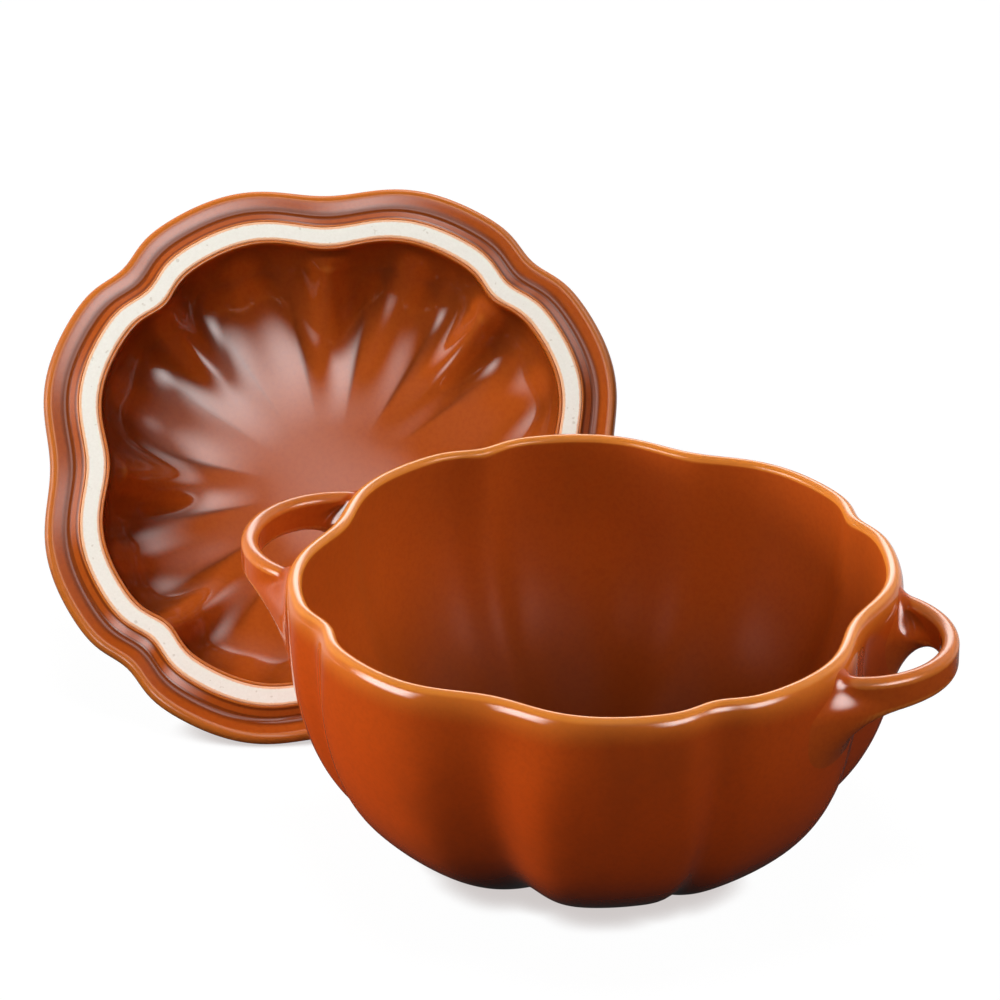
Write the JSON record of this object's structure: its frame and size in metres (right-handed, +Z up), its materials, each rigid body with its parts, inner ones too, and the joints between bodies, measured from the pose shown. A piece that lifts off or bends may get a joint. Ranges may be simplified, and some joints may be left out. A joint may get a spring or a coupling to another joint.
{
  "type": "lidded cocotte",
  "caption": "Pumpkin-shaped stoneware cocotte: lobed pot with loop handles under the rim and a lift-off domed lid with a locating ring and stem knob, leaning behind the pot.",
  "frame": {"origin": "middle of the pot's flat foot, on the table", "axes": "+Z up; X runs through the two handles; the lid leans behind and to the left, at -X and +Y"},
  "size_m": [0.2622, 0.1936, 0.1084],
  "materials": {
    "pot_bowl": "glossy cinnamon glaze",
    "handle_right": "glossy cinnamon glaze",
    "handle_left": "glossy cinnamon glaze",
    "lid_shell": "glossy cinnamon glaze",
    "lid_seat_ring": "bare fired clay",
    "lid_stem": "glossy cinnamon glaze"
  },
  "bodies": {
    "pot": {"pot_bowl": "pot_bowl", "handle_right": "handle_right", "handle_left": "handle_left"},
    "lid": {"lid_shell": "lid_shell", "lid_seat_ring": "lid_seat_ring", "lid_stem": "lid_stem"}
  },
  "joints": [
    {"name": "lid_lift", "type": "slide", "parent": "pot", "child": "lid", "axis": [-0.2848, 0.6279, 0.7243], "range_m": [0, 0.15]}
  ]
}
